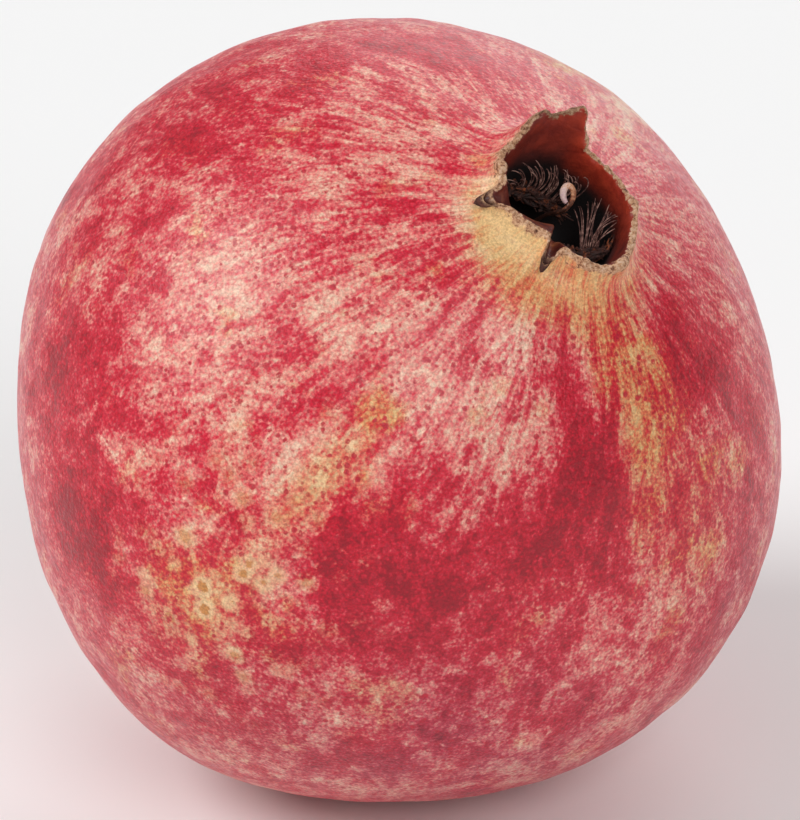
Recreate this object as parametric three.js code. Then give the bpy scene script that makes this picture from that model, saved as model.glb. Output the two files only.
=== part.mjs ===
// A whole fresh pomegranate, in millimetres, +Z up.
//
// The fruit leans over on a small flat spot, with the cup of its calyx raised
// towards the front and the right. The origin is at the middle of the fruit's
// outline, on the surface that it rests on. The rind and the calyx grew as one
// piece, so they are one solid. The dried stamens and style inside the calyx,
// and the stub of the stalk at the other end, are pieces of their own.

import * as THREE from "three";

// The body. Its axis runs from the stalk to the calyx.
const EQUATOR_RADIUS = 48.6; // from the axis to the rind at its widest
const AXIS_SHARE = 0.96; // half the length along the axis, as a share of that
const REST_PRESS = 0.75; // how far the resting side is pressed in
const DIMPLE = { depth: 2.2, spread: 11 }; // the hollow round the stalk, spread in degrees

// How the fruit lies, in degrees: it is turned on its own axis, leans from
// upright, and is then turned so that it leans to the front and the right.
const OWN_TURN = -156;
const LEAN = 39.8;
const LEAN_AZIMUTH = -49.6;

// Swellings and flats that the seed chambers give the rind. around is the angle
// round the axis, down the angle from the calyx end, spread its reach, out its height.
const SWELLINGS = [
  { around: 236, down: 60, spread: 27, out: -2.0 },
  { around: 342, down: 78, spread: 36, out: 0.8 },
  { around: 36, down: 113, spread: 25, out: -2.1 },
  { around: 99, down: 128, spread: 20, out: 1.7 },
  { around: 178, down: 91, spread: 24, out: 1.2 },
  { around: 140, down: 118, spread: 20, out: -0.5 },
  { around: 140, down: 60, spread: 24, out: -0.9 },
  { around: 72, down: 82, spread: 26, out: 0.8 },
  { around: 262, down: 112, spread: 30, out: 0.9 },
  { around: 305, down: 130, spread: 24, out: -1.1 },
];

// The calyx, a short cup. Its rim is where the sepals broke or dried away.
const RIM_RADIUS = 8.1; // from the axis to the middle of the wall at the rim
const RIM_HEIGHT = 2.8; // of the rim above the body's own curve
const WALL = 1.0; // thickness of the wall at the rim
const CUP_DEPTH = 12; // from the rim down to the floor
const CUP_ROWS = 10; // down the wall and across the floor
const SHOULDER_ANGLE = 20; // from the axis, where the neck leaves the body's curve

// Where the wall of the calyx is bent out or in, and the thick ledge low inside it.
const WALL_BENDS = [
  { around: 355, spread: 31, out: 2.2 },
  { around: 95, spread: 32, out: -2.0 },
  { around: 153, spread: 22, out: 1.2 },
];
const BEND_REACH = 4.6; // how far down the cup the bends of its rim reach
const LEDGE = { around: 70, spread: 36, depth: 5.4, reach: 2.2, out: 1.2 };

// What is left of the sepals: the tall one behind, and two small tips bent out over
// the shoulder. root and tip are half widths in degrees round the axis, and slope is
// how much the top rises for each degree round it.
const SEPALS = [
  { around: 328, root: 35, tip: 14, height: 6.5, slope: -0.05, out: 0.8 },
  { around: 43, root: 11, tip: 2, height: -0.6, slope: 0, out: 2.4 },
  { around: 103, root: 9, tip: 2, height: -1.1, slope: 0, out: 2.4 },
];
// Elsewhere the rim rises and falls a little, in waves round the axis.
const RIM_WAVES = [
  { count: 2, height: 0.4, from: 150 },
  { count: 5, height: 0.25, from: 90 },
  { count: 9, height: 0.1, from: 20 },
];

// Stamens: dried hairs, each with a pollen sac at its tip. They grow from the wall
// of the cup in layers, and the two tufts that are left reach in from it.
const HAIR_RADIUS = 0.17;
const SAC_RADIUS = 0.34;
const SAC_LENGTH = 1.2;
const WALL_GAP = 0.4; // between a stamen's root and the wall
const LAYERS = 3;
const LAYER_STEP = 0.85; // between layers, down the wall and at the tips
const TUFTS = [
  {
    name: "upper",
    count: 12,
    root: { from: 18, to: -74, depth: 5.8 },
    tip: { from: { radius: 4.4, around: 2 }, to: { radius: 4.4, around: -56 }, depth: 5.6 },
    rise: 1.4,
  },
  {
    name: "lower",
    count: 10,
    root: { from: 146, to: 190, depth: 6.2 },
    tip: { from: { radius: 4.2, around: 238 }, to: { radius: 6.4, around: 212 }, depth: 3.2 },
    rise: 0.8,
  },
];

// The style stands on the floor of the cup and ends in a curl that faces the front.
const STYLE = { radius: 0.3, curlWide: 0.66, curlHigh: 0.95, curlFaces: 25, depth: 1.2 };

// The woody stub that is left of the stalk, in its dimple.
const STALK = { radius: 2.7, length: 3.4 };

const COLUMNS = 80; // round the fruit
const BODY_ROWS = 26;
const HAIR = { sides: 5, rows: 9 };

const { degToRad, radToDeg, lerp, smoothstep, clamp, euclideanModulo } = THREE.MathUtils;

const rindSkin = finish(0xb8283c, 0.42);
const driedHair = finish(0x5a3a2a, 0.8);
const driedStyle = finish(0xb58a6a, 0.7);
const wood = finish(0x8a6a45, 0.85);

function finish(color, roughness) {
  return new THREE.MeshStandardMaterial({ color, roughness, metalness: 0 });
}

// A point of the fruit's own frame, from its angle round the axis in degrees.
function aroundAxis(radius, around, z) {
  const turn = degToRad(around);
  return new THREE.Vector3(radius * Math.cos(turn), radius * Math.sin(turn), z);
}

// The shortest way from one angle to another, in degrees.
function turnBetween(a, b) {
  return euclideanModulo(a - b + 180, 360) - 180;
}

function bell(distance, spread) {
  return Math.exp(-((distance / spread) ** 2));
}

// How far the swellings push the rind out in a direction from the fruit's middle.
function swellingAt(direction) {
  let out = 0;
  for (const s of SWELLINGS) {
    const down = degToRad(s.down);
    const towards = aroundAxis(Math.sin(down), s.around, Math.cos(down));
    out += s.out * bell(radToDeg(direction.angleTo(towards)), s.spread);
  }
  return out;
}

// The plain curve of the body: its radius and height at an angle from the calyx end.
function bodyPoint(down) {
  const radius = EQUATOR_RADIUS * Math.sin(degToRad(down));
  const height = EQUATOR_RADIUS * AXIS_SHARE * Math.cos(degToRad(down));
  return new THREE.Vector2(radius, height + DIMPLE.depth * bell(180 - down, DIMPLE.spread));
}

const rimTop = bodyPoint(radToDeg(Math.asin(RIM_RADIUS / EQUATOR_RADIUS))).y + RIM_HEIGHT;

// The rind's outline from the stalk, over the body, up the neck, over the rim and
// down inside the cup to its floor. follow is how much of the rim's rise, bends
// and lean a point takes, and inside marks the wall of the cup.
function outline() {
  const rows = [];
  const add = (x, y, follow, inside) => {
    rows.push({ point: new THREE.Vector2(x, y), follow, inside });
  };
  for (let i = 0; i <= BODY_ROWS; i++) {
    const p = bodyPoint(lerp(180, SHOULDER_ANGLE, i / BODY_ROWS));
    add(i === 0 ? 0 : p.x, p.y, 0, false);
  }

  const shoulder = rows.at(-1).point;
  const slope = shoulder.clone().sub(bodyPoint(SHOULDER_ANGLE + 1)).normalize();
  const lip = new THREE.Vector2(RIM_RADIUS + WALL / 2, rimTop - 0.25);
  const neck = new THREE.CubicBezierCurve(
    shoulder,
    shoulder.clone().addScaledVector(slope, 5),
    lip.clone().add(new THREE.Vector2(0.5, -2.6)),
    lip,
  );
  const neckFollow = [0, 0, 0.06, 0.22, 0.5, 0.8, 1];
  for (let i = 1; i < neckFollow.length; i++) {
    const p = neck.getPoint(i / (neckFollow.length - 1));
    add(p.x, p.y, neckFollow[i], false);
  }

  add(RIM_RADIUS + WALL * 0.28, rimTop, 1, false);
  add(RIM_RADIUS - WALL * 0.28, rimTop, 1, true);

  for (let i = 0; i <= CUP_ROWS; i++) {
    const depth = lerp(0.3, CUP_DEPTH, Math.sin((Math.PI / 2) * (i / CUP_ROWS)));
    add(i === CUP_ROWS ? 0 : cupRadius(depth), rimTop - depth, bell(depth - 0.3, BEND_REACH * 0.7), true);
  }
  return rows;
}

// The plain radius of the cup inside, at a depth under its rim.
function cupRadius(depth) {
  return (RIM_RADIUS - WALL / 2) * Math.sqrt(1 - (depth / CUP_DEPTH) ** 3);
}

// How far the ledge brings the wall of the cup in, at a depth under the rim.
function ledgeAt(around, depth) {
  const across = bell(turnBetween(around, LEDGE.around), LEDGE.spread);
  return LEDGE.out * across * bell(depth - LEDGE.depth, LEDGE.reach);
}

// The rim's rise, lean and bend at an angle round the axis.
function rimAt(around) {
  let rise = 0;
  let lean = 0;
  let bend = 0;
  for (const w of RIM_WAVES) rise += w.height * Math.cos(degToRad(w.count * (around - w.from)));
  for (const b of WALL_BENDS) bend += b.out * bell(turnBetween(around, b.around), b.spread);
  for (const s of SEPALS) {
    const turn = turnBetween(around, s.around);
    const share = 1 - smoothstep(Math.abs(turn), s.tip, s.root);
    rise = lerp(rise, s.height + s.slope * turn, share);
    lean += s.out * share;
  }
  return { rise, lean, bend };
}

// The whole rind with its calyx: a turned shape, pushed into its own form and laid down.
function rindGeometry(lie) {
  const rows = outline();
  const geometry = new THREE.LatheGeometry(rows.map((row) => row.point), COLUMNS).rotateX(Math.PI / 2);
  geometry.deleteAttribute("normal");
  geometry.deleteAttribute("uv");
  const position = geometry.getAttribute("position");
  const p = new THREE.Vector3();
  for (let i = 0; i < position.count; i++) {
    const { follow, inside } = rows[i % rows.length];
    p.fromBufferAttribute(position, i);
    const radius = Math.hypot(p.x, p.y);
    if (radius > 0.01) {
      const around = radToDeg(Math.atan2(p.y, p.x));
      const rim = rimAt(around);
      const ledge = inside && radius > 3 ? ledgeAt(around, rimTop - p.z) : 0;
      const wider = rim.lean * follow ** 2 + rim.bend * Math.sqrt(follow) - ledge;
      p.copy(aroundAxis(radius + wider, around, p.z + rim.rise * follow));
    }
    p.setLength(p.length() + swellingAt(p));
    p.applyMatrix4(lie);
    position.setXYZ(i, p.x, p.y, Math.max(p.z, 0)); // the resting side is pressed flat
  }
  return geometry;
}

// A round rod laid along a curve. thickness gives its radius at a share of the way.
function rodAlong(curve, thickness, rows, sides) {
  const profile = [new THREE.Vector2(0, 0)];
  for (let i = 0; i <= rows; i++) profile.push(new THREE.Vector2(thickness(i / rows), i / rows));
  profile.push(new THREE.Vector2(0, 1));
  const geometry = new THREE.LatheGeometry(profile, sides);
  geometry.deleteAttribute("normal");
  geometry.deleteAttribute("uv");
  const frames = curve.computeFrenetFrames(rows, false);
  const position = geometry.getAttribute("position");
  for (let i = 0; i < position.count; i++) {
    const share = clamp(position.getY(i), 0, 1);
    const k = Math.round(share * rows);
    const p = curve.getPointAt(share);
    p.addScaledVector(frames.normals[k], position.getZ(i));
    p.addScaledVector(frames.binormals[k], position.getX(i));
    position.setXYZ(i, p.x, p.y, p.z);
  }
  return geometry;
}

// One stamen of a tuft. Layers lie over each other, so that no two hairs touch.
function stamenGeometry(tuft, index) {
  const share = (index + 0.5) / tuft.count;
  const layer = index % LAYERS;
  const rootAround = lerp(tuft.root.from, tuft.root.to, share);
  const rootDepth = tuft.root.depth - LAYER_STEP * layer;
  const bend = rimAt(rootAround).bend * bell(rootDepth, BEND_REACH);
  const wall = cupRadius(rootDepth) + bend - ledgeAt(rootAround, rootDepth);
  const root = aroundAxis(wall - WALL_GAP, rootAround, rimTop - rootDepth);
  const { from, to, depth } = tuft.tip;
  const tip = aroundAxis(from.radius, from.around, 0).lerp(aroundAxis(to.radius, to.around, 0), share);
  tip.setLength(tip.length() - LAYER_STEP * layer);
  tip.z = rimTop - depth + LAYER_STEP * layer;
  const rise = new THREE.Vector3(0, 0, tuft.rise);
  const curve = new THREE.CatmullRomCurve3([
    root,
    root.clone().lerp(tip, 0.2).addScaledVector(rise, 0.7),
    root.clone().lerp(tip, 0.6).add(rise),
    tip,
  ]);
  const sacFrom = 1 - SAC_LENGTH / curve.getLength();
  const thickness = (t) => {
    const along = clamp((t - sacFrom) / (1 - sacFrom), 0, 1);
    return lerp(HAIR_RADIUS, SAC_RADIUS, Math.sin(Math.PI * 0.9 * along));
  };
  return rodAlong(curve, thickness, HAIR.rows, HAIR.sides);
}

function styleGeometry(lie) {
  const foot = aroundAxis(2.8, 330, rimTop - CUP_DEPTH + 1.2).applyMatrix4(lie);
  const centre = aroundAxis(2.3, 276, rimTop - STYLE.depth).applyMatrix4(lie);
  const tilt = degToRad(STYLE.curlFaces);
  const right = new THREE.Vector3(1, 0, 0);
  const up = new THREE.Vector3(0, Math.sin(tilt), Math.cos(tilt));
  const back = new THREE.Vector3(0, Math.cos(tilt), -Math.sin(tilt));
  const curl = (turn, share, depth) =>
    centre
      .clone()
      .addScaledVector(right, STYLE.curlWide * share * Math.cos(degToRad(turn)))
      .addScaledVector(up, STYLE.curlHigh * share * Math.sin(degToRad(turn)))
      .addScaledVector(back, depth);
  const points = [foot, foot.clone().lerp(curl(-110, 1.9, 0.6), 0.6), curl(-110, 1.5, 0.5)];
  for (let turn = -60; turn <= 200; turn += 40) points.push(curl(turn, 1, 0.2 - turn / 900));
  return rodAlong(new THREE.CatmullRomCurve3(points), (t) => STYLE.radius * lerp(0.8, 1.1, t), 26, 6);
}

function stalkGeometry() {
  const { radius, length } = STALK;
  return new THREE.LatheGeometry(
    [
      new THREE.Vector2(0, 0),
      new THREE.Vector2(radius * 1.25, 0),
      new THREE.Vector2(radius * 1.02, length * 0.35),
      new THREE.Vector2(radius * 0.92, length * 0.7),
      new THREE.Vector2(radius * 0.98, length * 0.95),
      new THREE.Vector2(radius * 0.85, length),
      new THREE.Vector2(0, length * 0.96),
    ],
    16,
  );
}

// Where the fruit lies. It is first held high over the surface, where its outline
// is measured, and then lowered until its resting side is pressed in.
const turned = new THREE.Matrix4()
  .makeRotationZ(degToRad(LEAN_AZIMUTH))
  .multiply(new THREE.Matrix4().makeRotationY(degToRad(LEAN)))
  .multiply(new THREE.Matrix4().makeRotationZ(degToRad(OWN_TURN)));
const held = new THREE.Matrix4().makeTranslation(0, 0, EQUATOR_RADIUS * 2).multiply(turned);
const heldShape = rindGeometry(held);
heldShape.computeBoundingBox();
const middle = heldShape.boundingBox.getCenter(new THREE.Vector3());
const lowest = heldShape.boundingBox.min.z + REST_PRESS;
const lie = new THREE.Matrix4().makeTranslation(-middle.x, -middle.y, -lowest).multiply(held);

const pomegranate = new THREE.Group();
pomegranate.name = "pomegranate";

const rind = new THREE.Mesh(rindGeometry(lie), rindSkin);
rind.name = "rind_with_calyx";
pomegranate.add(rind);

// The stamens and the stalk are placed in the fruit's own frame.
const own = new THREE.Group();
own.applyMatrix4(lie);
pomegranate.add(own);

for (const tuft of TUFTS) {
  for (let i = 0; i < tuft.count; i++) {
    const stamen = new THREE.Mesh(stamenGeometry(tuft, i), driedHair);
    stamen.name = `stamen_${tuft.name}_${String(i + 1).padStart(2, "0")}`;
    own.add(stamen);
  }
}

const style = new THREE.Mesh(styleGeometry(lie), driedStyle);
style.name = "style";
pomegranate.add(style);

const stalk = new THREE.Mesh(stalkGeometry(), wood);
stalk.name = "stalk_stub";
const stalkEnd = new THREE.Vector3(0, 0, bodyPoint(180).y);
stalk.position.set(0, 0, stalkEnd.z - swellingAt(stalkEnd) - 0.3);
stalk.rotation.x = -Math.PI / 2;
own.add(stalk);

export default pomegranate;
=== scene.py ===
import bpy
import math
import random
import numpy as np
from mathutils import Matrix, Vector
from mathutils.bvhtree import BVHTree


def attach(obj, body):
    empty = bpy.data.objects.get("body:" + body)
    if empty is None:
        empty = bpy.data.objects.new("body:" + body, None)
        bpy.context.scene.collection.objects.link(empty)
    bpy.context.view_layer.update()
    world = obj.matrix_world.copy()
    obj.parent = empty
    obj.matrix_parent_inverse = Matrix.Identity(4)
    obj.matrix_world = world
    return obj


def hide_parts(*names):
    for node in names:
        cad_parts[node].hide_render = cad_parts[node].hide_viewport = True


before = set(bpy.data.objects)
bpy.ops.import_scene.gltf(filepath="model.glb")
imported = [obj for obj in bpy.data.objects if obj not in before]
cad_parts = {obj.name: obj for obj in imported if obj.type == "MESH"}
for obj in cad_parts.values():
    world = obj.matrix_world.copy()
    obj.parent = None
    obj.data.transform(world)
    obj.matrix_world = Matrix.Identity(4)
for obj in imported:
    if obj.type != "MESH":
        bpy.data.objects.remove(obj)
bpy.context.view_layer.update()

# The camera stands a little above the fruit and in front of it, with a long lens,
# and looks level with the middle of the fruit.
CAMERA_DISTANCE = 0.5
CAMERA_RISE = 25  # degrees over the surface
CAMERA_LENS = 178.4  # millimetres, on a 36 mm sensor
CAMERA_AIM = Vector((-0.00007, 0.0, 0.0478))
CAMERA_DROP = 0.00091  # the middle of the frame is this far under the aim

rise = math.radians(CAMERA_RISE)
bpy.ops.object.camera_add(rotation=(math.radians(90 - CAMERA_RISE), 0, 0))
camera = bpy.context.active_object
camera.name = "camera"
camera.data.lens = CAMERA_LENS
camera.data.sensor_width = 36
camera.data.clip_start = 0.01
camera.location = (
    CAMERA_AIM
    + Vector((0, -math.cos(rise), math.sin(rise))) * CAMERA_DISTANCE
    - Vector((0, math.sin(rise), math.cos(rise))) * CAMERA_DROP
)
bpy.context.scene.camera = camera


# The rind: a tough leathery skin that runs on, in one piece, into the neck and the
# cup of the calyx. Its lip is corky where the sepals dried off, and the cup's lining
# is a smooth red-brown skin. One side of the lining's wall is painted lit, and painted shade
# darkens it towards the floor.
OWN_TURN = -156
LEAN = 39.8
LEAN_AZIMUTH = -49.6
MIDDLE = Vector((-0.585, -0.065, 46.569))  # of the body, in millimetres
COLUMNS = 80  # of faces round the fruit
LIP_RINGS = (10.7, 13.2)  # counted from the cup's floor; between them is cork
STREAK_STRETCH = 1.7  # how much longer than wide the colour runs from the calyx
SEAM = 0.00001  # metres between points that are one
ON_AXIS = 0.5  # millimetres off the axis that still count as on it
LIP_CREASE = 0.8
SLANT_IN = 1.1  # millimetres that the tall sepal's left edge leans in
LIP_THINNED = 0.32  # millimetres taken off the tall sepal's lip
FOLD_IN = 5.2  # millimetres that the fold of lining stands in
KNOT_HEIGHT = 0.0006
STREAK_REACH = 48  # the size of the space that the streaks are drawn in

# Where the skin is redder (above 0) or paler than the rest: the angle round the
# axis, the angle down from the calyx, the reach across and along, and how much.
# The pale zones at 50 and 38 degrees round, near 50 down, and at 106 round, 34
# down, are partly painted highlight, where the window and the lamp shine.
BLUSH_AND_PAINTED_HIGHLIGHTS = [
    (104, 60, 11, 7, 0.5),
    (116, 62, 5, 4, 0.16),
    (66, 90, 9, 12, 0.46),
    (50, 74, 9, 9, 0.2),
    (138, 38, 6, 12, 0.36),
    (134, 50, 11, 8, 0.36),
    (14, 62, 14, 15, 0.16),
    (350, 50, 15, 12, 0.10),
    (186, 28, 9, 8, 0.28),
    (126, 42, 6, 8, 0.08),
    (134, 68, 9, 8, 0.14),
    (118, 86, 14, 10, 0.12),
    (184, 52, 8, 12, 0.16),
    (121, 23, 4, 4, 0.24),
    (80, 45, 5, 10, 0.14),
    (250, 66, 24, 24, 0.3),
    (300, 96, 18, 26, 0.3),
    (225, 118, 20, 16, 0.26),
    (20, 128, 24, 18, 0.26),
    # Partly painted highlight, where the window shines.
    (50, 50, 12, 10, -0.10),
    (60, 64, 12, 11, -0.15),
    (46, 83, 7, 10, 0.22),
    (62, 78, 7, 6, 0.14),
    # Partly painted highlight, where the window shines.
    (38, 49, 8, 7, -0.18),
    (52, 67, 6, 7, -0.1),
    (74, 52, 6, 6, -0.12),
    (84, 42, 8, 8, -0.12),
    (86, 56, 7, 6, -0.08),
    # Partly painted highlight, where the lamp shines.
    (106, 34, 7, 8, -0.12),
    (66, 38, 5, 4, -0.26),
    (116, 22, 7, 4, -0.3),
    (88, 50, 4, 12, -0.2),
    (86, 78, 8, 12, -0.14),
    (150, 30, 3, 9, -0.16),
    (330, 40, 14, 14, 0.08),
    (275, 40, 12, 16, -0.22),
    (335, 108, 18, 16, -0.2),
    (82, 92, 7, 6, 0.16),
    (13, 27, 9, 7, -0.10),
    (69, 30, 7, 6, -0.14),
    (75, 61, 5, 5, -0.12),
    (66, 72, 4, 5, -0.10),
    (84, 53, 5, 5, -0.08),
    (84, 37, 5, 5, -0.06),
    (141, 75, 9, 7, 0.10),
    (152, 26, 6, 6, -0.12),
    (55, 12, 5, 4, -0.2),
    (108, 11, 4, 3, 0.14),
]
# Where its pale parts are yellow, in the same terms.
YELLOW = [
    (88, 52, 5, 13, 0.7),
    (86, 80, 11, 14, 0.75),
    (152, 35, 5, 12, 0.6),
    (166, 48, 11, 20, 0.65),
    (100, 17, 12, 6, 0.4),
    (150, 22, 7, 7, 0.6),
    (118, 24, 6, 4, -0.5),
    (285, 46, 16, 18, 0.6),
    (75, 61, 5, 5, 0.3),
    (66, 72, 4, 5, 0.3),
    (225, 86, 18, 18, 0.5),
]
# Where the red turns towards mauve.
MAUVE = [
    (134, 88, 30, 20, 1.0),
    (176, 66, 10, 16, 0.5),
    (265, 120, 30, 26, 0.7),
]
# Where ochre spots with pale rings have come up.
SPOTS = [
    (88, 76, 13, 15, 1.0),
    (230, 70, 16, 16, 0.8),
]

own = (
    Matrix.Rotation(math.radians(LEAN_AZIMUTH), 4, "Z")
    @ Matrix.Rotation(math.radians(LEAN), 4, "Y")
    @ Matrix.Rotation(math.radians(OWN_TURN), 4, "Z")
)


def own_millimetres(mesh):
    """The mesh's points in the fruit's own frame, in millimetres."""
    points = np.empty(len(mesh.vertices) * 3)
    mesh.vertices.foreach_get("co", points)
    points = points.reshape(-1, 3) * 1000 - np.array(MIDDLE)
    return points @ np.array(own.to_3x3())


def put_own_millimetres(mesh, points):
    moved = points @ np.array(own.to_3x3()).T + np.array(MIDDLE)
    mesh.vertices.foreach_set("co", (moved / 1000).ravel())


def angles(points):
    """Each point's angle round the axis and down from the calyx, in degrees."""
    around = np.degrees(np.arctan2(points[:, 1], points[:, 0])) % 360
    down = np.degrees(np.arctan2(np.hypot(points[:, 0], points[:, 1]), points[:, 2]))
    return around, down


def grown_zones(zones, around, down):
    total = np.zeros(len(around))
    for zone_around, zone_down, across, along, amount in zones:
        turn = (around - zone_around + 180) % 360 - 180
        turn = turn * np.sin(np.radians(np.maximum(down, 12)))
        total += amount * np.exp(-((turn / across) ** 2) - ((down - zone_down) / along) ** 2)
    return total


def note(mesh, name, values, kind="FLOAT"):
    """Keeps a number or a vector for each point of the mesh, for its material."""
    attribute = mesh.attributes.new(name, kind, "POINT")
    field = "vector" if kind == "FLOAT_VECTOR" else "value"
    attribute.data.foreach_set(field, np.asarray(values, np.float32).ravel())


def open_copy(node, name):
    """A copy of one of the frame's solids, joined at its seams and left in edit mode."""
    bpy.ops.object.select_all(action="DESELECT")
    piece = bpy.data.objects.new(name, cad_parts[node].data.copy())
    piece.data.materials.clear()
    bpy.context.scene.collection.objects.link(piece)
    piece.select_set(True)
    bpy.context.view_layer.objects.active = piece
    bpy.ops.mesh.customdata_custom_splitnormals_clear()
    bpy.ops.object.mode_set(mode="EDIT")
    bpy.ops.mesh.select_all(action="SELECT")
    bpy.ops.mesh.remove_doubles(threshold=SEAM)
    return piece


def subdivide(piece, levels):
    smooth = piece.modifiers.new("smooth", "SUBSURF")
    smooth.levels = levels
    smooth.render_levels = levels
    bpy.ops.object.modifier_apply(modifier="smooth")


rind = open_copy("rind_with_calyx", "rind")
bpy.ops.mesh.select_mode(type="EDGE")
bpy.ops.mesh.select_all(action="DESELECT")
bpy.ops.object.mode_set(mode="OBJECT")

# Rings of points are counted outwards from the floor of the cup. Only the edges
# along the rings and along the columns are kept, so the faces have four sides.
mesh = rind.data
points = own_millimetres(mesh)
off_axis = np.hypot(points[:, 0], points[:, 1])
floor_point = int(np.argmax(np.where(off_axis < ON_AXIS, points[:, 2], -1e9)))
neighbours = [[] for _ in mesh.vertices]
for edge in mesh.edges:
    a, b = edge.vertices
    neighbours[a].append(b)
    neighbours[b].append(a)
ring = np.full(len(points), -1)
ring[floor_point] = 0
reached = [floor_point]
while reached:
    following = []
    for a in reached:
        for b in neighbours[a]:
            if ring[b] < 0:
                ring[b] = ring[a] + 1
                following.append(b)
    reached = following
around, down = angles(points)
column = np.round(around * COLUMNS / 360) % COLUMNS
for edge in mesh.edges:
    a, b = edge.vertices
    on_axis = min(off_axis[a], off_axis[b]) < ON_AXIS
    edge.select = bool(ring[a] != ring[b] and column[a] != column[b] and not on_axis)
note(mesh, "ring", ring)

bpy.ops.object.mode_set(mode="EDIT")
bpy.ops.mesh.dissolve_edges(use_verts=False)
bpy.ops.mesh.select_all(action="DESELECT")
bpy.ops.object.mode_set(mode="OBJECT")
for edge in mesh.edges:
    a, b = edge.vertices
    edge.select = bool(ring[a] == ring[b] and ring[a] in (11, 12))  # the lip's two edges
bpy.ops.object.mode_set(mode="EDIT")
bpy.ops.transform.edge_crease(value=LIP_CREASE)
bpy.ops.mesh.select_mode(type="VERT")
bpy.ops.object.mode_set(mode="OBJECT")
subdivide(rind, 2)

mesh = rind.data
points = own_millimetres(mesh)
around, down = angles(points)
ring = np.empty(len(points), np.float32)
mesh.attributes["ring"].data.foreach_get("value", ring)


def group(name, weights):
    made = rind.vertex_groups.new(name=name)
    for i in np.nonzero(weights > 0.01)[0]:
        made.add([int(i)], float(weights[i]), "REPLACE")


def bell(values, middle, reach):
    return np.exp(-(((values - middle) / reach) ** 2))


def turned(values, middle):
    return (values - middle + 180) % 360 - 180


# The two small sepal tips lie out over the shoulder, folded to a point.
away = np.zeros((len(points), 3))
tips = np.zeros(len(points))
for tip_around, width, out, drop in ((43, 5.0, 0.9, 1.9), (103, 4.2, 1.2, 1.2)):
    share = bell(turned(around, tip_around), 0, width) * bell(ring, 12, 0.9)
    turn = math.radians(tip_around)
    away += np.outer(share, (out * math.cos(turn), out * math.sin(turn), -drop))
    tip_share = bell(turned(around, tip_around), 0, width * 1.5) * bell(ring, 12, 1.5)
    tips = np.maximum(tips, tip_share)

# The tall sepal behind is trimmed: its left edge slants, and its torn top dips
# between a horn on the left and a corner on the right. The rings near it follow.
follow = np.interp(
    ring,
    (6, 7, 8, 9, 10, 13, 14, 15, 16, 17, 18),
    (0, 0.07, 0.29, 0.72, 1, 1, 0.8, 0.5, 0.22, 0.06, 0),
)
phi = np.radians(around)
outward = np.stack([np.cos(phi), np.sin(phi), np.zeros(len(points))], axis=1)
flap = bell(turned(around, 326), 0, 26)
slant = bell(turned(around, 351), 0, 12)
dip = np.interp(
    turned(around, 336),  # degrees from the horn, then millimetres down
    (-40, -32, -28, -25, -17, -9, -5, -2, 0, 8, 13, 18, 24, 30, 38),
    (0, 0.28, 0.5, 0.7, 2.25, 3.2, 2.9, 2.1, 1.95, 1.9, 1.9, 1.55, 0.7, 0.17, 0),
)
away += outward * (-SLANT_IN * slant * follow)[:, None]
away[:, 2] -= dip * follow
away -= outward * (LIP_THINNED * flap * bell(ring, 12.5, 1.0))[:, None]
# Low inside the near wall, a fold of the lining stands in like a shelf.
shelf_height = np.interp(ring, (5, 6.4, 7.8, 9, 10, 11), (0, 0.8, 1, 0.6, 0.1, 0))
shelf = bell(turned(around, 82), 0, 46) * shelf_height
away -= outward * (FOLD_IN * shelf)[:, None]
put_own_millimetres(mesh, points + away)
note(mesh, "tips", tips)
note(mesh, "flap", flap)
note(mesh, "shelf", bell(turned(around, 84), 0, 52) * bell(ring, 8.4, 2.0))

group("cork", bell(ring, 11.6, 1.3))
group("skin", np.clip((ring - 13.5) / 4, 0, 1))
knots = np.zeros(len(points))
for knot_around, reach in ((296, 4.5), (229, 5), (160, 7), (20, 4), (131, 4)):
    knots += bell(turned(around, knot_around), 0, reach)
group("knots", knots * bell(ring, 11.9, 1.3))

for name, size, depth, strength, where in (
    ("cork_lumps", 0.0013, 2, 0.0008, "cork"),
    ("cork_crumbs", 0.0004, 2, 0.0004, "cork"),
    ("skin_swells", 0.007, 1, 0.0005, "skin"),
):
    grain = bpy.data.textures.new(name, "CLOUDS")
    grain.noise_scale = size
    grain.noise_depth = depth
    push = rind.modifiers.new(name, "DISPLACE")
    push.texture = grain
    push.texture_coords = "LOCAL"
    push.strength = strength
    push.mid_level = 0.5
    push.vertex_group = where
    bpy.ops.object.modifier_apply(modifier=name)
push = rind.modifiers.new("knots", "DISPLACE")
push.strength = KNOT_HEIGHT
push.mid_level = 0
push.vertex_group = "knots"
bpy.ops.object.modifier_apply(modifier="knots")
bpy.ops.object.shade_smooth()
for vertex in mesh.vertices:  # the resting side stays flat on the surface
    vertex.co.z = max(vertex.co.z, 0)

# What each point keeps for the skin's material: a place stretched along the way
# that the colour runs, and how far it lies in each zone.
theta = np.radians(down)
run = theta / STREAK_STRETCH + 0.28 * np.maximum(0, theta - 0.85)
drift = STREAK_REACH * np.stack([np.cos(phi), np.sin(phi), run], axis=1)
note(mesh, "drift", drift, "FLOAT_VECTOR")
note(mesh, "blush_and_painted_highlights", grown_zones(BLUSH_AND_PAINTED_HIGHLIGHTS, around, down))
near_calyx = bell(np.maximum(down - 8, 0), 0, 9)
near_calyx *= 0.55 + 0.45 * np.cos(np.radians(around - 100))
note(mesh, "yellow", np.clip(grown_zones(YELLOW, around, down) + near_calyx, 0, 1))
note(mesh, "mauve", np.clip(grown_zones(MAUVE, around, down), 0, 1))
note(mesh, "spots", np.clip(grown_zones(SPOTS, around, down), 0, 1))
calyx = bell(np.maximum(down - 9, 0), 0, 8)
note(mesh, "calyx", calyx * (0.62 + 0.38 * np.cos(np.radians(around - 110))))
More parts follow.
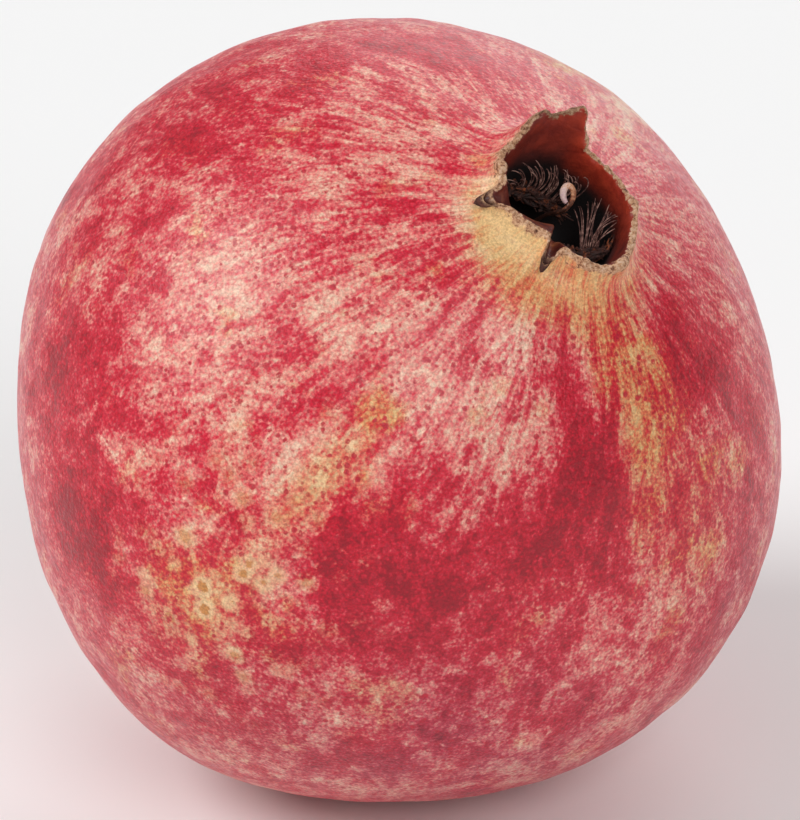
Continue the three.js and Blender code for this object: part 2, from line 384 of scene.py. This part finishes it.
# Painted light: how far a point lies on the side of the cup's wall, near the rim, that is
# painted lit.
note(mesh, "painted_lit_side", bell(turned(around, 272), 0, 64) * np.clip((ring - 7.4) / 2.6, 0, 1))


def tone(red, green, blue):
    """A colour from its usual 0 to 255 numbers."""
    shares = [c / 255 for c in (red, green, blue)]
    return [c / 12.92 if c <= 0.04045 else ((c + 0.055) / 1.055) ** 2.4 for c in shares] + [1]


class Finish:
    """A material whose nodes are added one by one."""

    def __init__(self, name):
        self.material = bpy.data.materials.new(name)
        self.material.use_nodes = True
        self.tree = self.material.node_tree
        self.shader = self.tree.nodes["Principled BSDF"]

    def put(self, kind, inputs, output=0, **settings):
        made = self.tree.nodes.new("ShaderNode" + kind)
        for name, value in settings.items():
            setattr(made, name, value)
        for name, value in inputs.items():
            self.feed(made.inputs[name], value)
        return made.outputs[output]

    def feed(self, socket, value):
        if isinstance(value, bpy.types.NodeSocket):
            self.tree.links.new(value, socket)
        else:
            socket.default_value = value

    def noted(self, name, output="Fac"):
        return self.put("Attribute", {}, output, attribute_name=name)

    def place(self):
        """Object coordinates in millimetres."""
        where = self.put("TexCoord", {}, "Object")
        return self.put("VectorMath", {0: where, "Scale": 1000}, operation="SCALE")

    def noise(self, where, size, detail=2, roughness=0.5, output="Fac"):
        settings = {"Vector": where, "Scale": 1 / size, "Detail": detail, "Roughness": roughness}
        return self.put("TexNoise", settings, output)

    def cells(self, where, size, output="Distance"):
        return self.put("TexVoronoi", {"Vector": where, "Scale": 1 / size}, output)

    def sum(self, a, b):
        return self.put("Math", {0: a, 1: b}, operation="ADD")

    def less(self, a, b):
        return self.put("Math", {0: a, 1: b}, operation="SUBTRACT")

    def times(self, a, b):
        return self.put("Math", {0: a, 1: b}, operation="MULTIPLY")

    def spread(self, value, low, high, to_low=0, to_high=1):
        """The value taken from one range to another and held inside it."""
        inputs = {"Value": value, 1: low, 2: high, 3: to_low, 4: to_high}
        return self.put("MapRange", inputs, interpolation_type="SMOOTHSTEP")

    def blend(self, share, a, b):
        return self.put("Mix", {0: share, 6: a, 7: b}, 2, data_type="RGBA")

    def ramp(self, value, *stops):
        made = self.put("ValToRGB", {0: value})
        band = made.node.color_ramp
        while len(band.elements) < len(stops):
            band.elements.new(0.5)
        for element, (position, _) in zip(band.elements, stops):
            element.position = position
        for element, (_, colour) in zip(band.elements, stops):
            element.color = colour
        return made

    def bump(self, height, distance, strength=1, under=None):
        inputs = {"Height": height, "Distance": distance, "Strength": strength}
        if under is not None:
            inputs["Normal"] = under
        return self.put("Bump", inputs)

    def surface(self, colour, roughness, normal):
        self.feed(self.shader.inputs["Base Color"], colour)
        self.feed(self.shader.inputs["Roughness"], roughness)
        self.feed(self.shader.inputs["Normal"], normal)


skin = Finish("pomegranate_skin")
where = skin.place()
drifted = skin.noted("drift", "Vector")
warp = skin.noise(drifted, 6, 2, 0.6, "Color")
warp = skin.put("VectorMath", {0: warp, "Scale": 4}, operation="SCALE")
warped = skin.put("VectorMath", {0: drifted, 1: warp}, operation="ADD")
streaks = skin.noise(warped, 5.5, 5, 0.66)
patches = skin.noise(where, 11, 4, 0.6)
blotches = skin.noise(warped, 1.9, 3, 0.6)
fine = skin.noise(where, 0.55, 2, 0.6)
mesh_cells = skin.cells(where, 0.5)
speckle = skin.noise(where, 0.28, 2, 0.7)

# How much red there is at a point, from 0 to 1. A few of the pale zones in it are painted
# highlights.
red = skin.sum(skin.noted("blush_and_painted_highlights"), 0.46)
streaked = skin.spread(streaks, 0.36, 0.66, -0.18, 0.20)
calm = skin.spread(skin.noted("calyx"), 0.1, 0.9, 1.0, 0.35)
red = skin.sum(red, skin.times(streaked, calm))
red = skin.sum(red, skin.spread(patches, 0.35, 0.65, -0.11, 0.11))
red = skin.sum(red, skin.spread(blotches, 0.34, 0.68, -0.11, 0.14))
red = skin.sum(red, skin.times(skin.spread(fine, 0.3, 0.7, -0.10, 0.11), calm))
flecks = skin.spread(skin.noise(warped, 1.5, 3, 0.65), 0.57, 0.70)
red = skin.less(red, skin.times(flecks, 0.2))
red = skin.sum(red, skin.times(skin.spread(mesh_cells, 0.1, 0.75, -0.09, 0.11), calm))
red = skin.less(red, skin.times(skin.noted("calyx"), 0.4))

pink_skin = skin.ramp(
    red,
    (0.0, tone(238, 198, 172)),
    (0.22, tone(232, 158, 140)),
    (0.42, tone(222, 106, 104)),
    (0.62, tone(208, 32, 58)),
    (0.82, tone(192, 0, 36)),
    (1.0, tone(160, 0, 30)),
)
yellow_skin = skin.ramp(
    red,
    (0.0, tone(228, 188, 130)),
    (0.22, tone(222, 158, 102)),
    (0.42, tone(214, 102, 68)),
    (0.62, tone(204, 38, 46)),
    (0.82, tone(190, 0, 34)),
    (1.0, tone(158, 0, 28)),
)
yellow_patches = skin.spread(skin.noise(where, 7, 3), 0.5, 0.72, -0.1, 0.55)
yellowness = skin.sum(skin.noted("yellow"), yellow_patches)
skin_colour = skin.blend(skin.spread(yellowness, 0.05, 0.9), pink_skin, yellow_skin)
mauve_patches = skin.spread(skin.noise(where, 9, 3), 0.3, 0.6, 0.35, 0.8)
mauve_share = skin.times(skin.noted("mauve"), mauve_patches)
mauve_skin = skin.ramp(
    red,
    (0.0, tone(216, 168, 150)),
    (0.3, tone(204, 118, 118)),
    (0.55, tone(178, 56, 80)),
    (0.8, tone(146, 16, 48)),
    (1.0, tone(116, 6, 38)),
)
skin_colour = skin.blend(mauve_share, skin_colour, mauve_skin)

# Dark red pores, and ochre spots with pale rings.
for spacing, widest, share in ((0.85, 0.40, 0.85), (1.5, 0.27, 0.85)):
    pore_distance = skin.cells(where, spacing)
    pore_size = skin.put("SeparateColor", {0: skin.cells(where, spacing, "Color")}, 0)
    pore_edge = skin.spread(pore_size, 0.25, 1.0, 0.0, widest)
    pores = skin.spread(skin.less(pore_edge, pore_distance), -0.05, 0.05)
    pores = skin.times(pores, skin.times(calm, skin.spread(red, 0.0, 0.4, 0.3, share)))
    skin_colour = skin.blend(pores, skin_colour, tone(186, 20, 46))
ragged = skin.noise(where, 0.9, 3, 0.7, "Color")
ragged = skin.put("VectorMath", {0: ragged, "Scale": 1.1}, operation="SCALE")
ragged = skin.put("VectorMath", {0: where, 1: ragged}, operation="ADD")
spot_distance = skin.cells(ragged, 3.3)
spotted = skin.times(skin.noted("spots"), skin.spread(red, 0.85, 0.45))
halo = skin.times(skin.spread(spot_distance, 0.52, 0.3), spotted)
skin_colour = skin.blend(skin.times(halo, 0.7), skin_colour, tone(238, 206, 156))
heart = skin.times(skin.spread(spot_distance, 0.25, 0.19), spotted)
skin_colour = skin.blend(skin.times(heart, 0.85), skin_colour, tone(190, 116, 38))
shade = skin.spread(speckle, 0.3, 0.7, 0.77, 1.18)
skin_colour = skin.put("VectorMath", {0: skin_colour, "Scale": shade}, operation="SCALE")

# The lip's cork, and the lining of the cup, with uneven borders between them.
ring_number = skin.noted("ring")
wander = skin.spread(skin.noise(where, 0.9, 3, 0.6), 0.3, 0.7, -0.55, 0.55)
border = skin.sum(ring_number, wander)
cork_grain = skin.noise(where, 0.45, 4, 0.7)
cork_colour = skin.ramp(
    cork_grain,
    (0.34, tone(92, 52, 36)),
    (0.42, tone(170, 118, 86)),
    (0.52, tone(216, 166, 128)),
    (0.72, tone(242, 212, 186)),
)
brown_edge = skin.ramp(
    cork_grain,
    (0.36, tone(48, 28, 20)),
    (0.5, tone(108, 74, 50)),
    (0.68, tone(178, 138, 106)),
)
cork_colour = skin.blend(skin.times(skin.noted("flap"), 0.75), cork_colour, brown_edge)
lining_wear = skin.noise(where, 2.2, 4, 0.6)
# Painted light and shade: the lining comes in a lit copy and a shaded copy, mixed by the painted
# lit side.
lining_lit = skin.ramp(lining_wear, (0.3, tone(150, 34, 24)), (0.7, tone(216, 76, 48)))
lining_shaded = skin.ramp(lining_wear, (0.3, tone(70, 20, 14)), (0.7, tone(112, 34, 22)))
lining_with_painted_light_and_shade = skin.blend(skin.noted("painted_lit_side"), lining_shaded, lining_lit)
# Painted shade: the lining goes nearly black towards the floor of the cup.
lining_with_painted_light_and_shade = skin.blend(skin.spread(ring_number, 8.6, 7.2), lining_with_painted_light_and_shade, tone(14, 4, 4))
on_shelf = skin.sum(skin.noted("shelf"), skin.spread(lining_wear, 0.3, 0.7, -0.25, 0.25))
fold_colour = skin.ramp(
    lining_wear,
    (0.36, tone(92, 34, 24)),
    (0.5, tone(134, 62, 38)),
    (0.66, tone(176, 110, 74)),
)
lining_with_painted_light_and_shade = skin.blend(skin.spread(on_shelf, 0.25, 0.9), lining_with_painted_light_and_shade, fold_colour)
is_skin = skin.spread(border, LIP_RINGS[1] - 0.35, LIP_RINGS[1] + 0.35)
is_lining = skin.spread(border, LIP_RINGS[0] + 0.2, LIP_RINGS[0] - 0.2)
colour = skin.blend(is_skin, cork_colour, skin_colour)
colour = skin.blend(is_lining, colour, lining_with_painted_light_and_shade)
tip_colour = skin.ramp(cork_grain, (0.35, tone(46, 16, 14)), (0.7, tone(108, 62, 48)))
colour = skin.blend(skin.spread(skin.noted("tips"), 0.3, 0.75), colour, tip_colour)

rough_skin = skin.spread(skin.noise(where, 1.3, 3), 0.3, 0.7, 0.31, 0.46)
rough = skin.put("Mix", {0: is_skin, 2: 0.9, 3: rough_skin})
rough_lining = skin.spread(ring_number, 7.0, 9.0, 0.95, 0.5)
rough = skin.put("Mix", {0: is_lining, 2: rough, 3: rough_lining})
pebble = skin.bump(skin.noise(where, 0.6, 3, 0.65), 0.0002, 0.7)
pebble = skin.bump(mesh_cells, 0.00006, 0.7, pebble)
pebble = skin.bump(skin.noise(where, 3.2, 2, 0.5), 0.0005, 0.35, pebble)
crumb = skin.bump(cork_grain, 0.0005, 0.9)
membrane = skin.bump(lining_wear, 0.0006, 0.4)
normal = skin.put("Mix", {0: is_skin, 4: crumb, 5: pebble}, 1, data_type="VECTOR")
normal = skin.put("Mix", {0: is_lining, 4: normal, 5: membrane}, 1, data_type="VECTOR")
skin.surface(colour, rough, normal)
skin.shader.inputs["Specular IOR Level"].default_value = 0.4
skin.shader.inputs["Coat Weight"].default_value = 0.14
skin.shader.inputs["Coat Roughness"].default_value = 0.3
rind.data.materials.append(skin.material)
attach(rind, "root")
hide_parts("rind_with_calyx")


# The stamens: dried hairs that stand in the cup, without their pollen sacs. Two
# tufts are left, the upper one bent back like lashes, the lower one fanned out.
RIM_TOP = 48.80  # along the fruit's own axis, in millimetres
HAIR_WIDTH = 0.17  # millimetres
LASHES = 34
FAN_HAIRS = 20

random.seed(7)


def in_cup(radius, around_axis, depth):
    """A place in the cup, from the angle round the axis and the depth under the rim."""
    turn = math.radians(around_axis)
    place = Vector((radius * math.cos(turn), radius * math.sin(turn), RIM_TOP - depth))
    return (own @ place + MIDDLE) / 1000


def between(a, b, share):
    return [x + (y - x) * share for x, y in zip(a, b)]


def strand(points, widths, sides=1, steps=3):
    """A round strand through the points, as a mesh, narrowing as its widths say."""
    bpy.ops.object.select_all(action="DESELECT")
    bpy.ops.curve.primitive_nurbs_path_add(radius=0.001)
    made = bpy.context.active_object
    line = made.data.splines[0]
    line.points.add(len(points) - len(line.points))
    for point, place, width in zip(line.points, points, widths):
        point.co = (*place, 1)
        point.radius = width / widths[0]
    line.use_endpoint_u = True
    line.order_u = 4
    line.resolution_u = steps
    made.data.bevel_depth = widths[0] / 2000
    made.data.bevel_resolution = sides
    made.data.use_fill_caps = True
    bpy.ops.object.convert(target="MESH")
    return bpy.context.active_object


def join(pieces, name):
    bpy.ops.object.select_all(action="DESELECT")
    for piece in pieces:
        piece.select_set(True)
    bpy.context.view_layer.objects.active = pieces[0]
    bpy.ops.object.join()
    bpy.ops.object.transform_apply(location=True, rotation=True, scale=True)
    bpy.ops.object.shade_smooth()
    joined = bpy.context.active_object
    joined.name = name
    joined.data.name = name
    return joined


def jitter(amount):
    return random.uniform(-amount, amount)


def along(stops, share):
    """The (radius, around, depth) at a share of the way along the stops."""
    place = share * (len(stops) - 1)
    k = min(int(place), len(stops) - 2)
    return between(stops[k], stops[k + 1], place - k)


# Places in the cup as radius, angle round the axis, and depth under the rim.
lash_roots = [(7.2, 352, 7.0), (5.0, 335, 6.6), (3.6, 312, 6.2), (4.2, 276, 5.2)]
lash_tips = [(8.0, 368, 3.9), (7.8, 345, 2.6), (6.9, 322, 2.0)]
lash_tips += [(5.4, 300, 1.7), (5.8, 279, 1.5)]
lashes = []
for i in range(LASHES):
    share = min(max((i + 0.5 + jitter(0.9)) / LASHES, 0), 1)
    root = along(lash_roots, share)
    tip = along(lash_tips, min(max(share + jitter(0.07), 0), 1))
    tip[0] -= random.uniform(0, 1.7)
    tip[2] += jitter(0.5)
    a, b = in_cup(*root), in_cup(*tip)
    lift = (own.to_3x3() @ Vector((0, 0, random.uniform(0.3, 1.0)))) / 1000
    aside = Vector((random.uniform(0.4, 1.5), 0, 0)) / 1000
    low = a.lerp(b, 0.3) + lift * 0.7 + aside
    high = a.lerp(b, 0.7) + lift + aside * 0.9
    widths = [HAIR_WIDTH * part for part in (1, 1, 0.9, 0.7, 0.35)]
    lashes.append(strand([a, low, high, b + lift * 0.35, b], widths))
upper_stamens = join(lashes, "stamens_upper")

fan_roots = [(5.4, 172, 6.8), (5.8, 186, 6.6), (6.4, 198, 6.2)]
fan_tips = [(4.3, 262, 4.2), (5.2, 256, 3.2), (6.6, 250, 2.8)]
fan_tips += [(7.3, 236, 2.6), (7.5, 222, 2.4), (7.3, 208, 2.2)]
fan = []
for i in range(FAN_HAIRS):
    share = min(max((i + 0.5 + jitter(1.0)) / FAN_HAIRS, 0), 1)
    a = in_cup(*along(fan_roots, min(max(share + jitter(0.4), 0), 1)))
    tip = along(fan_tips, share)
    tip[0] -= random.uniform(0, 1.6)
    tip[2] += jitter(0.8)
    b = in_cup(*tip)
    lift = (own.to_3x3() @ Vector((0, 0, random.uniform(0.4, 1.8)))) / 1000
    inward = (in_cup(3.2, 205, 4.2) - a.lerp(b, 0.5)) * random.uniform(0.1, 0.6)
    low = a.lerp(b, 0.3) + inward + lift * 0.4
    high = a.lerp(b, 0.65) + inward * 0.9 + lift
    widths = [HAIR_WIDTH * part for part in (1, 1, 0.85, 0.6, 0.3)]
    fan.append(strand([a, low, high, b + lift * 0.4, b], widths))
lower_stamens = join(fan, "stamens_lower")

# Broken hairs lie tangled in dark bundles at the foot of both tufts. Where one
# would enter the wall of the cup, it lies along it instead.
WALL_GAP = 0.00025  # metres
rind_surface = BVHTree.FromObject(rind, bpy.context.evaluated_depsgraph_get())


def off_the_wall(place):
    """The place itself, or the nearest one that keeps clear of the rind."""
    nearest, outwards = rind_surface.find_nearest(place)[:2]
    if (place - nearest).dot(outwards) < WALL_GAP:
        return nearest + outwards * WALL_GAP
    return place


upper_bundle = [(8.6, 376, 5.4), (6.8, 350, 6.2), (4.6, 328, 6.4)]
upper_bundle += [(3.4, 300, 6.0), (3.0, 262, 5.8)]
lower_bundle = [(3.4, 118, 4.2), (3.8, 142, 4.8), (4.8, 172, 5.2)]
lower_bundle += [(6.4, 192, 5.4), (7.4, 208, 4.4)]
tangle = []
for path, spread, count in ((upper_bundle, 1.0, 105), (lower_bundle, 0.9, 76)):
    for i in range(count):
        start = random.uniform(0, 0.75)
        points = []
        for k in range(5):
            place = along(path, min(start + 0.075 * k, 1))
            wander_by = Vector((jitter(spread), jitter(spread), jitter(spread))) / 1000
            points.append(off_the_wall(in_cup(*place) + wander_by))
        widths = [0.4, 0.4, 0.34, 0.26, 0.12]
        tangle.append(strand(points, widths, steps=2))
broken_stamens = join(tangle, "stamens_broken")

hair = Finish("dried_stamen_hair")
place = hair.place()
hair_grain = hair.noise(place, 0.7, 3, 0.6)
hair_colour = hair.ramp(
    hair_grain,
    (0.36, tone(58, 30, 26)),
    (0.5, tone(116, 76, 68)),
    (0.64, tone(184, 142, 128)),
)
hair_rough = hair.spread(hair_grain, 0.3, 0.7, 0.6, 0.8)
hair.surface(hair_colour, hair_rough, hair.bump(hair.noise(place, 0.12, 2), 0.00004, 0.6))
dark_hair = Finish("dried_stamen_tangle")
place = dark_hair.place()
dark_grain = dark_hair.noise(place, 0.9, 3, 0.6)
dark_colour = dark_hair.ramp(
    dark_grain,
    (0.35, tone(34, 16, 13)),
    (0.55, tone(70, 36, 28)),
    (0.7, tone(160, 84, 46)),
)
dark_rough = dark_hair.spread(dark_grain, 0.3, 0.7, 0.7, 0.85)
dark_bump = dark_hair.bump(dark_hair.noise(place, 0.12, 2), 0.00005, 0.7)
dark_hair.surface(dark_colour, dark_rough, dark_bump)
for tuft, finish in ((upper_stamens, hair), (lower_stamens, hair), (broken_stamens, dark_hair)):
    tuft.data.materials.clear()
    tuft.data.materials.append(finish.material)
    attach(tuft, "root")
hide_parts(*[f"stamen_upper_{i:02d}" for i in range(1, 13)])
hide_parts(*[f"stamen_lower_{i:02d}" for i in range(1, 11)])


# The style: a dried stalk from the floor of the cup, whose stigma curls into a pale
# ring that faces the front.
CURL_WIDE = 0.6  # millimetres from the ring's middle
CURL_HIGH = 0.98
CURL_FACES = 25  # degrees over the surface
curl_middle = in_cup(2.3, 276, 1.2) + Vector((-0.0009, 0, 0.0001))
tilt = math.radians(CURL_FACES)
facing_up = Vector((0, math.sin(tilt), math.cos(tilt)))
facing_back = Vector((0, math.cos(tilt), -math.sin(tilt)))


def on_curl(turn, share=1.0, back=0.0):
    """A place on the curl, from an angle round it, in the fruit's resting place."""
    right = CURL_WIDE * share * math.cos(math.radians(turn))
    up = CURL_HIGH * share * math.sin(math.radians(turn))
    return curl_middle + (Vector((right, 0, 0)) + facing_up * up + facing_back * back) / 1000


style_points = [in_cup(2.8, 330, 10.8), in_cup(2.5, 318, 6.5), on_curl(-125, 2.6, 1.0)]
style_points += [on_curl(-95, 1.5, 0.6), on_curl(-55, 1.1, 0.4)]
style_points += [on_curl(turn, 1.05, 0.3 - turn / 800) for turn in range(-20, 260, 30)]
style_widths = [0.5, 0.5, 0.52, 0.56, 0.6]
style_widths += [0.62, 0.64, 0.68, 0.74, 0.8, 0.84, 0.84, 0.78, 0.66, 0.5]
style = strand(style_points, style_widths, sides=3, steps=5)
style = join([style], "style_with_stigma")


def share_along(place):
    """How far along the style a place is, from 0 at its foot to 1 at its tip."""
    steps = [(place - point).length for point in style_points]
    return steps.index(min(steps)) / (len(steps) - 1)


note(style.data, "paleness", [share_along(vertex.co) for vertex in style.data.vertices])
stigma = Finish("dried_stigma")
place = stigma.place()
stigma_grain = stigma.noise(place, 0.35, 3, 0.6)
uneven = stigma.spread(stigma_grain, 0.3, 0.7, -0.12, 0.12)
paleness = stigma.sum(stigma.noted("paleness"), uneven)
stigma_colour = stigma.ramp(
    paleness,
    (0.15, tone(60, 30, 20)),
    (0.36, tone(150, 86, 56)),
    (0.55, tone(206, 150, 112)),
    (0.75, tone(226, 196, 186)),
    (0.95, tone(206, 170, 172)),
)
stigma_rough = stigma.spread(stigma_grain, 0.3, 0.7, 0.5, 0.7)
stigma_bump = stigma.bump(stigma.noise(place, 0.2, 3), 0.0001, 0.8)
stigma.surface(stigma_colour, stigma_rough, stigma_bump)
style.data.materials.clear()
style.data.materials.append(stigma.material)
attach(style, "root")
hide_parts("style")


# The stub of the stalk: wood, snapped short in the dimple opposite the calyx, with
# a ridged bark and a paler broken end.
STUB_RADIUS = 2.7  # millimetres

stub = open_copy("stalk_stub", "stalk_stub_wood")
bpy.ops.mesh.tris_convert_to_quads(face_threshold=math.pi, shape_threshold=math.pi)
bpy.ops.mesh.select_all(action="DESELECT")
bpy.ops.object.mode_set(mode="OBJECT")
subdivide(stub, 3)
stub_points = own_millimetres(stub.data)
turn = np.arctan2(stub_points[:, 1], stub_points[:, 0])
low = stub_points[:, 2].min()
ridges = 0.12 * np.sin(turn * 9) + 0.07 * np.sin(turn * 17 + 1)
ridges *= np.clip((stub_points[:, 2] - low) / 0.8, 0.25, 1)
stub_points[:, :2] *= (1 + ridges / STUB_RADIUS)[:, None]
splinters = 0.22 * np.sin(stub_points[:, 0] * 5) * np.cos(stub_points[:, 1] * 4)
stub_points[:, 2] += splinters * np.clip(1 - (stub_points[:, 2] - low), 0, 1)
put_own_millimetres(stub.data, stub_points)
note(stub.data, "broken_end", np.clip(1 - (stub_points[:, 2] - low) / 0.6, 0, 1))
bpy.ops.object.shade_smooth()
bark = Finish("stalk_bark")
place = bark.place()
bark_grain = bark.noise(place, 0.5, 4, 0.7)
bark_colour = bark.ramp(
    bark_grain,
    (0.3, tone(72, 52, 36)),
    (0.5, tone(128, 100, 70)),
    (0.7, tone(170, 144, 106)),
)
end_colour = bark.ramp(bark_grain, (0.3, tone(150, 118, 78)), (0.7, tone(206, 178, 132)))
stub_colour = bark.blend(bark.noted("broken_end"), bark_colour, end_colour)
bark_rough = bark.spread(bark_grain, 0.3, 0.7, 0.8, 0.95)
bark.surface(stub_colour, bark_rough, bark.bump(bark_grain, 0.0004, 0.8))
stub.data.materials.append(bark.material)
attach(stub, "root")
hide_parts("stalk_stub")


# The floor is one plain pale sheet, wide enough to reach the horizon from a low
# angle.
bpy.ops.mesh.primitive_plane_add(size=40, location=(0, 0, 0))
floor = bpy.context.active_object
floor.name = "floor"
paper = Finish("pale_paper")
paper.shader.inputs["Base Color"].default_value = (0.9, 0.9, 0.9, 1)
paper.shader.inputs["Roughness"].default_value = 0.9
paper.shader.inputs["Specular IOR Level"].default_value = 0.2
floor.data.materials.append(paper.material)

# Light comes from a pale room all round, a large soft window high on the left, a
# smaller soft lamp over the front, and a broad pale panel behind. The room looks
# brighter to the camera than its light on the fruit is.
ROOM_LIGHT = 0.28
ROOM_SEEN = 0.96

world = bpy.data.worlds.new("pale_room")
bpy.context.scene.world = world
world.use_nodes = True
room = world.node_tree
seen = room.nodes.new("ShaderNodeBackground")
for backdrop, strength in ((room.nodes["Background"], ROOM_LIGHT), (seen, ROOM_SEEN)):
    backdrop.inputs[0].default_value = (1, 1, 1, 1)
    backdrop.inputs[1].default_value = strength
which = room.nodes.new("ShaderNodeMixShader")
rays = room.nodes.new("ShaderNodeLightPath")
room.links.new(rays.outputs["Is Camera Ray"], which.inputs[0])
room.links.new(room.nodes["Background"].outputs[0], which.inputs[1])
room.links.new(seen.outputs[0], which.inputs[2])
room.links.new(which.outputs[0], room.nodes["World Output"].inputs[0])
for name, towards, softness, power in (
    ("window", (-0.69, -0.16, 0.70), 34, 1.64),
    ("lamp", (0.31, -0.74, 0.6), 30, 0.98),
    ("panel", (0.35, 0.78, 0.5), 60, 1.15),
):
    facing = (-Vector(towards)).to_track_quat("-Z", "Y").to_euler()
    bpy.ops.object.light_add(type="SUN", location=CAMERA_AIM + Vector(towards), rotation=facing)
    light = bpy.context.active_object
    light.name = name
    light.data.angle = math.radians(softness)
    light.data.energy = power
bpy.context.scene.view_settings.view_transform = "Standard"
